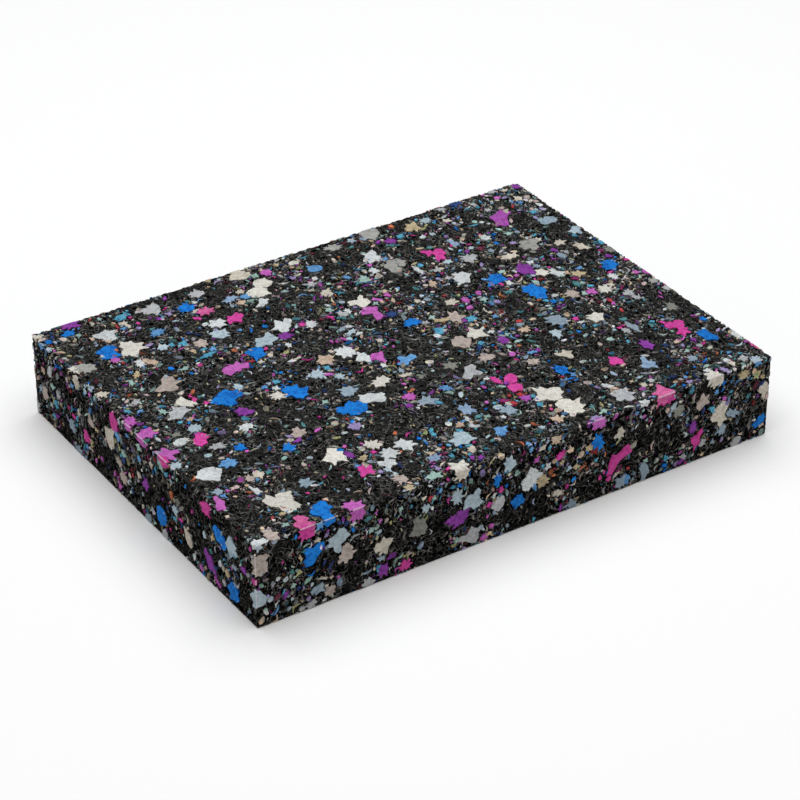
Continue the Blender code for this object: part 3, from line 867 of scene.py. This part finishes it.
def tear_crumb(bm, shade_layer, place, radius, grain, lift, rng):
    """One crumb: a speck, a leaf, a drop, a shard, or a sliver that curls."""
    kind = rng.choice(CRUMB_KINDS)
    slim, stretch = CRUMB_SHAPES[kind]
    length = radius * stretch
    curl = {"sliver": rng.uniform(0.2, 0.7), "curl": rng.uniform(0.7, 1.1)}.get(kind, rng.uniform(0, 0.2))
    made = disc(bm, 6 if kind == "speck" else 8)
    turn = rng.uniform(0, math.tau)
    if grain is not None:
        lying = math.radians(grain + rng.triangular(-GRAIN_SPREAD, GRAIN_SPREAD, 0))
        turn = lying + math.pi * rng.randint(0, 1)
    seat = turned_at(place, turn, lift)
    lean = rng.uniform(0, 0.6) if kind == "drop" else 0
    for vert in made:
        x, y = vert.co.xy
        if kind in ("leaf", "sliver", "curl"):
            y = math.copysign(1 - x * x, y)
        if kind == "shard":
            reach = rng.choice((0.45, 0.75, 1.1, 1.3))
            x, y = x * reach, y * reach
        y = y * slim * (1 - lean * x) * rng.uniform(0.8, 1.15) + curl * (x * x - 0.4)
        vert.co = seat @ Vector((x * length, y * radius * (1 if slim > 0.3 else 1.2), 0))
    shades = [rng.uniform(*shade_range) for shade_range in CRUMB_SHADES]
    made[0].link_faces[0][shade_layer] = rng.choice(shades)


def cut_at_folds(bm, face):
    """Cuts across the flat sheets where their face turns over an edge, so that they bend there."""
    for half, axis in zip(face_halves(face), (Vector((1, 0, 0)), Vector((0, 1, 0)))):
        for arc in (0, math.pi / 4, math.pi / 2):
            for side in (-1, 1):
                line = side * axis * (half - EDGE_RADIUS + EDGE_RADIUS * arc)
                parts = bm.verts[:] + bm.edges[:] + bm.faces[:]
                bmesh.ops.bisect_plane(bm, geom=parts, dist=1e-7, plane_co=line, plane_no=axis)


def at_fold(face, flat):
    """1 on the line where the face turns over its edge, 0 beside it: where a chip gets a painted highlight,
    with some edge wear.
    """
    folds = (abs(along) - half + EDGE_RADIUS for along, half in zip(flat.xy, face_halves(face)))
    return max(0.0, 1.0 - min(abs(past / EDGE_RADIUS - math.pi / 4) for past in folds) / (math.pi / 4))


def thicken(bm, sunk, rim_width=0, crown=0):
    """Makes closed chips of the flat sheets: a wall down into the slab, and a slightly crowned top."""
    tops = bm.faces[:]
    below = bmesh.ops.extrude_face_region(bm, geom=tops, use_keep_orig=True)
    bmesh.ops.translate(bm, vec=(0, 0, -sunk), verts=moved_verts(below))
    if rim_width:
        bmesh.ops.inset_region(bm, faces=tops, thickness=rim_width, depth=crown, use_even_offset=True)
    bmesh.ops.recalc_face_normals(bm, faces=bm.faces)


def cells_about(place, cell_size, steps):
    """The cell that a place lies in, and all cells up to so many steps away."""
    middle = [math.floor(c / cell_size) for c in place]
    around = range(-steps, steps + 1)
    return [(middle[0] + i, middle[1] + j, middle[2] + k) for i, j, k in itertools.product(around, repeat=3)]


class Scatter:
    """The chips of each colour on each face, and where they lie, so that new ones keep clear."""

    def __init__(self):
        self.sheets = {}
        self.spots = {}
        self.small = {}

    def free(self, place, radius, overlap):
        for cell in cells_about(place, SPOT_CELL, 2 if radius > SPOT_CELL / 2 else 1):
            for other, other_radius in self.spots.get(cell, ()):
                if (other - place).length < (radius + other_radius) * overlap:
                    return False
        return True

    def hold(self, place, radius):
        for cell in cells_about(place, SPOT_CELL, max(0, math.ceil(radius / SPOT_CELL) - 1)):
            self.spots.setdefault(cell, []).append((place, radius))

    def note_small(self, place):
        self.small.setdefault(cells_about(place, CRUMB_REACH, 0)[0], []).append(place)

    def crumb_near(self, place):
        """How thick the fine crumb lies here: 1 among small chips, 0 in a bare dark flake."""
        total = 0.0
        for cell in cells_about(place, CRUMB_REACH, 1):
            for other in self.small.get(cell, ()):
                total += max(0.0, 1.0 - (other - place).length / CRUMB_REACH)
        return min(1.0, total * (1.2 + 2.2 * flake_band(place)))

    def sheet(self, face, color, size):
        key = (face, color, size)
        if key not in self.sheets:
            bm = bmesh.new()
            self.sheets[key] = (bm, bm.faces.layers.float.new("shade"))
        return self.sheets[key]


def put_chip(scatter, face, color, place, wide, high, turn, rng, read_rim=()):
    bm, shade = scatter.sheet(face, color, "chip")
    tear_chip(bm, shade, place, wide, high, turn, rng.uniform(*CHIP_LIFT), read_rim, rng)
    middle = laid(face, Vector((*place, 0)))
    scatter.hold(middle, (wide + high) / 4 * CHIP_HOLD)
    if wide + high < 4 * SMALL_CHIP:
        scatter.note_small(middle)


def put_read_chips(scatter, rng):
    """The chips that the photo shows, in their places."""
    for face, table in READ_CHIPS.items():
        sign = -1 if face == "left" else 1
        base = 0 if face == "top" else SIZE.z / 2
        for color, chips in table.items():
            for across, up, wide, high, *turned in chips:
                place = (sign * across * MM, up * MM - base)
                turn = math.radians(sign * sum(turned))
                read_rim = RIMS[face].get((across, up), ())
                put_chip(scatter, face, color, place, wide * MM, high * MM, turn, rng, read_rim)


def put_random_chips(scatter, rng):
    """Like chips on the faces that the photo doesn't show."""
    colors, shares = zip(*CHIP_SHARES.items())
    for face in FACES:
        if face in READ_CHIPS:
            continue
        half_u, half_v = face_halves(face)
        for _ in range(round(CHIPS_PER_M2 * half_u * half_v * 4)):
            size = rng.choice([rng.uniform(*sizes) for sizes in CHIP_SIZES]) * MM
            margin = 0.0 if size < BIG_CHIP else -0.3 * size
            u = rng.uniform(-half_u - margin, half_u + margin)
            v = rng.uniform(-half_v - margin, half_v + margin)
            place = laid(face, Vector((u, v, 0)))
            wanted = size > 2 * SMALL_CHIP or rng.random() < flake_band(place)
            if wanted and scatter.free(place, size / 2, CHIP_SPACING):
                color = rng.choices(colors, shares)[0]
                high = size * rng.uniform(0.75, 1.1)
                put_chip(scatter, face, color, (u, v), size, high, rng.uniform(0, math.tau), rng)


def put_crumbs(scatter, rng):
    """Fine crumb of every colour, thickest among the small chips."""
    colors, shares = zip(*CRUMB_SHARES.items())
    for face in FACES:
        half_u, half_v = face_halves(face)
        for _ in range(round(CRUMBS_PER_M2 * SIDE_CRUMBS.get(face, 1.0) * half_u * half_v * 4)):
            u, v = rng.uniform(-half_u, half_u), rng.uniform(-half_v, half_v)
            low, high, _share = rng.choices(CRUMB_SIZES, [size[2] for size in CRUMB_SIZES])[0]
            radius = rng.uniform(low, high) * MM
            place = laid(face, Vector((u, v, 0)))
            chance = LONE_CRUMBS + (1 - LONE_CRUMBS) * scatter.crumb_near(place)
            if rng.random() > chance or not scatter.free(place, radius, CRUMB_SPACING):
                continue
            cluster = str([round(c / CLUSTER_SIZE) for c in place])
            near_by = random.Random(cluster).choices(colors, shares, k=2)
            color = rng.choice((*near_by, *rng.choices(colors, shares, k=2)))
            bm, shade = scatter.sheet(face, color, "crumb")
            tear_crumb(bm, shade, (u, v), radius, GRAIN.get(face), rng.uniform(*CHIP_LIFT), rng)
            scatter.hold(place, radius)


def chips_of_color(scatter, color, material):
    """Every chip and crumb of one colour, in one piece."""
    whole = bmesh.new()
    whole.faces.layers.float.new("shade")
    whole.verts.layers.float.new("fold_wear_and_highlight")
    whole.verts.layers.float.new("fine")
    for (face, sheet_color, size), (bm, _shade) in scatter.sheets.items():
        if sheet_color != color:
            continue
        cut_at_folds(bm, face)
        if size == "chip":
            thicken(bm, CHIP_SUNK, CHIP_RIM, CHIP_CROWN)
        else:
            thicken(bm, CRUMB_SUNK)
        bm.verts.layers.float.new("fold_wear_and_highlight")
        fine = bm.verts.layers.float.new("fine")
        fold_wear_and_highlight = bm.verts.layers.float["fold_wear_and_highlight"]
        for vert in bm.verts:
            # The fold line, where a chip gets its painted highlight
            vert[fold_wear_and_highlight] = at_fold(face, vert.co)
            vert[fine] = float(size == "crumb")
            vert.co = laid(face, vert.co)
        part = bpy.data.meshes.new("part")
        bm.to_mesh(part)
        bm.free()
        whole.from_mesh(part)
        bpy.data.meshes.remove(part)
    return finished(f"chips_{color}", whole, material)


# Materials

def node_group(name, colors):
    """An empty node group that takes the named colours and gives a colour and a height."""
    group = bpy.data.node_groups.new(name, "ShaderNodeTree")
    for label, color in colors.items():
        socket = group.interface.new_socket(name=label, in_out="INPUT", socket_type="NodeSocketColor")
        socket.default_value = color
    for label, kind in (("Color", "NodeSocketColor"), ("Height", "NodeSocketFloat")):
        group.interface.new_socket(name=label, in_out="OUTPUT", socket_type=kind)
    return group, group.nodes.new("NodeGroupInput").outputs, group.nodes.new("NodeGroupOutput").inputs


def add(tree, kind, links=(), **settings):
    """A node with its settings, and its inputs set or linked from {input: value or output}."""
    node = tree.nodes.new(kind)
    for key, value in settings.items():
        setattr(node, key, value)
    for key, value in dict(links).items():
        if isinstance(value, bpy.types.NodeSocket):
            tree.links.new(value, node.inputs[key])
        else:
            node.inputs[key].default_value = value
    return node


def math_node(tree, operation, *values, clamp=False):
    node = add(tree, "ShaderNodeMath", dict(enumerate(values)), operation=operation, use_clamp=clamp)
    return node.outputs[0]


def times(tree, first, second):
    return math_node(tree, "MULTIPLY", first, second)


def larger(tree, first, second):
    return math_node(tree, "MAXIMUM", first, second)


def off_from(tree, value, level):
    return math_node(tree, "ABSOLUTE", math_node(tree, "SUBTRACT", value, level))


def vector_node(tree, operation, *values):
    node = add(tree, "ShaderNodeVectorMath", dict(enumerate(values)), operation=operation)
    return node.outputs["Value" if operation == "DOT_PRODUCT" else "Vector"]


def fade(tree, value, start, end, low=0.0, high=1.0):
    """value from start to end, smoothly made low to high."""
    links = {"Value": value, "From Min": start, "From Max": end, "To Min": low, "To Max": high}
    return add(tree, "ShaderNodeMapRange", links, interpolation_type="SMOOTHSTEP").outputs["Result"]


def blend(tree, amount, first, second, mode="MIX"):
    """Two colours, mixed by an amount."""
    links = {0: amount, 6: first, 7: second}
    return add(tree, "ShaderNodeMix", links, data_type="RGBA", blend_type=mode).outputs[2]


def shaded(tree, color, value):
    """A colour multiplied by a grey value."""
    grey = add(tree, "ShaderNodeCombineColor", {0: value, 1: value, 2: value}).outputs[0]
    return blend(tree, 1.0, color, grey, "MULTIPLY")


def object_place(tree):
    return add(tree, "ShaderNodeTexCoord").outputs["Object"]


def attribute(tree, name):
    return add(tree, "ShaderNodeAttribute", attribute_name=name, attribute_type="GEOMETRY").outputs["Fac"]


def noise_at(tree, place, size, detail=2.0, roughness=0.5, distortion=0.0):
    links = {"Vector": place, "Scale": 1 / size, "Detail": detail, "Roughness": roughness}
    links["Distortion"] = distortion
    return add(tree, "ShaderNodeTexNoise", links).outputs


def cells_at(tree, place, size, feature="F1"):
    return add(tree, "ShaderNodeTexVoronoi", {"Vector": place, "Scale": 1 / size}, feature=feature).outputs


def chances(tree, cells):
    """Three random values for each cell."""
    return add(tree, "ShaderNodeSeparateColor", {0: cells["Color"]}).outputs


def foam_cells_group():
    """The fine open cells of cut foam: veins of a second tone, pits and creases with painted shade, a painted
    highlight on folds, and their height.
    """
    tree, given, result = node_group("foam_cells", {"Foam": (0.5, 0.5, 0.5, 1), "Veins": (0.4, 0.4, 0.4, 1)})
    place = object_place(tree)
    broad = noise_at(tree, place, VEIN_SIZE, 3, 0.6, 0.6)["Fac"]
    grit = noise_at(tree, place, GRIT_SIZE, 2, 0.6)["Fac"]
    fine_veins = fade(tree, grit, 0.52, 0.75, 0, 0.6)
    veins = math_node(tree, "ADD", fade(tree, broad, 0.45, 0.66), fine_veins, clamp=True)
    color = shaded(tree, blend(tree, veins, given["Foam"], given["Veins"]), attribute(tree, "shade"))
    # Painted highlight, with some edge wear: chips turn pale along the fold over the rounded edge
    color = blend(tree, times(tree, attribute(tree, "fold_wear_and_highlight"), 0.7), color, srgb(FOLD_WEAR_AND_HIGHLIGHT_TONE))
    # Painted shade: rare small pores drawn near-black, for the shade inside them
    pores = cells_at(tree, place, PORE_SIZE)
    rare = fade(tree, chances(tree, pores)[0], 0.72, 0.76)
    hole = times(tree, rare, fade(tree, pores["Distance"], 0.26, 0.10))
    color = blend(tree, times(tree, hole, 0.45), color, PORE_SHADE_COLOR)
    mottle = noise_at(tree, place, MOTTLE_SIZE, 1.0)
    hues = blend(tree, 0.4, mottle["Fac"], mottle["Color"])
    hues = vector_node(tree, "MULTIPLY_ADD", hues, (4.2,) * 3, (-1.05,) * 3)
    color = blend(tree, times(tree, attribute(tree, "fine"), 0.5), color, hues, "MULTIPLY")
    # Painted shade and highlight: creases drawn as darker lines and lighter mottling on the chips
    crease_shading = fade(tree, noise_at(tree, place, CREASE_SIZE, 1, 0.5, 1.2)["Fac"], 0.36, 0.62, -0.5, 0.22)
    color = shaded(tree, color, math_node(tree, "ADD", times(tree, crease_shading, 0.3), 1.0))
    tree.links.new(color, result["Color"])
    tree.links.new(math_node(tree, "SUBTRACT", times(tree, grit, 0.6), hole), result["Height"])
    return tree


def ring_layer(tree, place, cell_mm, thin, offset):
    """Torn cells as broken rings: how much of a rim is here, and how much of a hole, which gets painted
    shade.
    """
    shifted = vector_node(tree, "ADD", place, (offset, -offset, offset))
    cells = cells_at(tree, shifted, cell_mm * MM)
    chance = chances(tree, cells)
    reach = fade(tree, chance[0], 0.0, 1.0, 0.20, 0.46)
    ring = fade(tree, off_from(tree, cells["Distance"], reach), thin, thin * 0.3)
    heading = vector_node(tree, "NORMALIZE", vector_node(tree, "SUBTRACT", shifted, cells["Position"]))
    towards = vector_node(tree, "SUBTRACT", cells["Color"], (0.5, 0.5, 0.5))
    side = vector_node(tree, "DOT_PRODUCT", heading, towards)
    hole = math_node(tree, "LESS_THAN", cells["Distance"], times(tree, reach, 0.72))
    ring = times(tree, ring, fade(tree, side, -0.14, 0.04))
    return ring, times(tree, hole, fade(tree, chance[2], 0.45, 0.6))


def whorls(tree, place, size_mm, turns, thick, offset):
    """Thin lines that run round each other, as torn edges do in a dark flake: the lines, and a painted shadow
    beside each, as if it were a raised ridge.
    """
    shifted = vector_node(tree, "ADD", place, (offset, offset, -offset))
    swell = noise_at(tree, shifted, size_mm * MM, 1.0, 0.35)["Fac"]
    phase = math_node(tree, "FRACT", times(tree, swell, turns))
    shown = fade(tree, noise_at(tree, place, size_mm * 0.7 * MM, 1)["Fac"], 0.40, 0.50)
    line = fade(tree, off_from(tree, phase, 0.4), thick, thick * 0.3)
    # Painted shadow: a dark band beside each line, as a ridge would cast
    shade = fade(tree, off_from(tree, phase, 0.7), thick * 1.5, thick * 0.5)
    return times(tree, line, shown), times(tree, shade, shown)


def specks_in(tree, color, place, band):
    """The colour with the finest specks in it, thickest in the bands of crumb."""
    specks = cells_at(tree, place, SPECK_SIZE)
    chance = chances(tree, specks)
    hue = add(tree, "ShaderNodeValToRGB", {0: chance[0]})
    ramp = hue.color_ramp
    ramp.interpolation = "CONSTANT"
    while len(ramp.elements) < len(SPECK_COLORS):
        ramp.elements.new(1.0)
    for index, name in enumerate(SPECK_COLORS):
        ramp.elements[index].position = index / len(SPECK_COLORS)
        ramp.elements[index].color = srgb([c * SPECK_TONE for c in FOAM_COLORS[name][0]])
    wanted = math_node(tree, "LESS_THAN", chance[1], fade(tree, band, 0.0, 0.9, 0.006, 0.16))
    speck = times(tree, wanted, fade(tree, specks["Distance"], 0.44, 0.30))
    return blend(tree, speck, color, hue.outputs["Color"])


def crumb_curls_group():
    """Charcoal crumb: curled grey edges of torn cells round holes with painted shade, painted shadow beside
    the whorls, pits with painted shade, painted shade on the upright faces, and bands of coloured specks.
    """
    tones = {"Dark": srgb(DARK_TONE), "Charcoal": srgb(CHARCOAL_TONE), "Curls": srgb(CURL_TONE)}
    tree, given, result = node_group("crumb_curls", tones)
    still = object_place(tree)
    swirl = vector_node(tree, "SUBTRACT", noise_at(tree, still, SWIRL_SIZE, 1.0)["Color"], (0.5, 0.5, 0.5))
    place = vector_node(tree, "MULTIPLY_ADD", swirl, (SWIRL_REACH,) * 3, still)
    band = attribute(tree, "band")
    curls, holes, shades = 0.0, 0.0, 0.0
    for layer in RINGS:
        ring, hole = ring_layer(tree, place, *layer)
        curls = larger(tree, curls, times(tree, ring, 0.75))
        holes = larger(tree, holes, hole)
    for layer in WHORLS:
        line, shade = whorls(tree, still, *layer)
        curls = larger(tree, curls, line)
        shades = larger(tree, shades, shade)
    tone = noise_at(tree, still, GROUND_SIZE, 3, 0.65)["Fac"]
    ground = larger(tree, fade(tree, tone, 0.36, 0.64), fade(tree, band, 0.0, 0.6, 0.55, 0.0))
    color = blend(tree, ground, given["Dark"], given["Charcoal"])
    shard_tone = fade(tree, chances(tree, cells_at(tree, place, SHARD_SIZE))[1], 0.0, 1.0, 0.0, 0.4)
    color = blend(tree, shard_tone, color, given["Dark"])
    seams = cells_at(tree, place, SHARD_SIZE, feature="DISTANCE_TO_EDGE")["Distance"]
    color = blend(tree, fade(tree, seams, 0.08, 0.03, 0.0, 0.7), color, srgb(SEAM_TONE))
    # Painted shade: the holes in the torn cells drawn near-black
    color = blend(tree, times(tree, holes, 0.75), color, srgb(CELL_HOLE_SHADE_TONE))
    # Painted shadow beside the whorl lines
    color = blend(tree, times(tree, shades, 0.7), color, srgb(RIDGE_SHADOW_TONE))
    strength = fade(tree, noise_at(tree, still, FADED_SIZE, 1)["Fac"], 0.30, 0.66, 0.25, 1.0)
    strength = times(tree, strength, fade(tree, band, 0.0, 0.8, 0.75, 1.1))
    color = blend(tree, times(tree, curls, strength), color, given["Curls"])
    # Painted shade: scattered pits drawn almost black
    pits = cells_at(tree, place, HOLE_SIZE)
    pit = times(tree, fade(tree, chances(tree, pits)[0], 0.45, 0.5), fade(tree, pits["Distance"], 0.36, 0.2))
    color = blend(tree, pit, color, srgb(PIT_SHADE_TONE))
    color = specks_in(tree, color, place, band)
    # Painted shade: the crumb on the upright faces made darker in its darks, with more contrast
    side_shaded = add(tree, "ShaderNodeGamma", {"Color": color, "Gamma": SIDE_SHADE_GAMMA}).outputs[0]
    side_shaded = vector_node(tree, "MULTIPLY", side_shaded, (SIDE_SHADE_GAIN,) * 3)
    color = blend(tree, attribute(tree, "upright"), color, side_shaded)
    height = math_node(tree, "ADD", times(tree, ground, 0.15), curls)
    tree.links.new(color, result["Color"])
    tree.links.new(math_node(tree, "SUBTRACT", height, larger(tree, holes, pit)), result["Height"])
    return tree


def matt(name, roughness, shine):
    """A matt material: the material, its node tree and its shader's inputs."""
    material = bpy.data.materials.new(name)
    material.use_nodes = True
    shader = material.node_tree.nodes["Principled BSDF"].inputs
    shader["Roughness"].default_value = roughness
    shader["Specular IOR Level"].default_value = shine
    return material, material.node_tree, shader


def foam_material(name, group, colors, relief_mm, shine):
    """Matt cut foam: the group gives its colour and its height."""
    material, tree, shader = matt(name, ROUGHNESS, shine)
    cells = add(tree, "ShaderNodeGroup", node_tree=group)
    for label, color in colors.items():
        cells.inputs[label].default_value = color
    tree.links.new(cells.outputs["Color"], shader["Base Color"])
    bump = {"Height": cells.outputs["Height"], "Distance": relief_mm * MM, "Strength": 1.0}
    tree.links.new(add(tree, "ShaderNodeBump", bump).outputs["Normal"], shader["Normal"])
    material.diffuse_color = next(iter(colors.values()), (0.03, 0.03, 0.03, 1))
    return material


# The picture

def placed(name, data, place, look):
    """An object at a place, looking along a direction."""
    holder = bpy.data.objects.new(name, data)
    holder.location = place
    holder.rotation_euler = look.to_track_quat("-Z", "Y").to_euler()
    bpy.context.scene.collection.objects.link(holder)
    return holder


def camera():
    view = bpy.data.cameras.new("camera")
    view.lens = CAMERA_LENS_MM
    view.sensor_width = SENSOR_MM
    view.clip_start = 0.01
    level = math.cos(CAMERA_RISE)
    look = Vector((-math.sin(CAMERA_TURN) * level, math.cos(CAMERA_TURN) * level, -math.sin(CAMERA_RISE)))
    bpy.context.scene.camera = placed("camera", view, CAMERA_AIM - look * CAMERA_DISTANCE, look)


def studio():
    """A pale floor under a soft light from above, behind and to the right."""
    bm = bmesh.new()
    bmesh.ops.create_grid(bm, x_segments=1, y_segments=1, size=FLOOR_HALF)
    floor_material, _tree, shader = matt("studio_floor", FLOOR_ROUGHNESS, 0.0)
    shader["Base Color"].default_value = FLOOR_COLOR
    floor = finished("studio_floor", bm, floor_material)
    world = bpy.data.worlds.new("studio")
    bpy.context.scene.world = world
    world.use_nodes = True
    sky = world.node_tree.nodes["Background"].inputs
    sky["Color"].default_value = SKY_COLOR
    sky["Strength"].default_value = SKY_STRENGTH
    for name, (place, side, power, tint) in LIGHTS.items():
        lamp = bpy.data.lights.new(name, "AREA")
        lamp.color = tint
        lamp.shape = "SQUARE"
        lamp.size = side
        lamp.energy = power
        placed(name, lamp, place, -place)
    bpy.context.scene.view_settings.view_transform = "Standard"


def build():
    rng = random.Random(SEED)
    curls = crumb_curls_group()
    cells = foam_cells_group()
    scatter = Scatter()
    put_read_chips(scatter, rng)
    put_random_chips(scatter, rng)
    put_crumbs(scatter, rng)
    body = foam_body(foam_material("charcoal_crumb", curls, {}, CRUMB_RELIEF_MM, CRUMB_SHINE), scatter)
    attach(body, "root")
    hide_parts("foam_sheet")
    for color, (foam, veins) in FOAM_COLORS.items():
        tones = {"Foam": srgb(foam), "Veins": srgb(veins)}
        material = foam_material(f"foam_{color}", cells, tones, CHIP_RELIEF_MM, CHIP_SHINE)
        chips = chips_of_color(scatter, color, material)
        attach(chips, "root")


camera()
studio()
build()
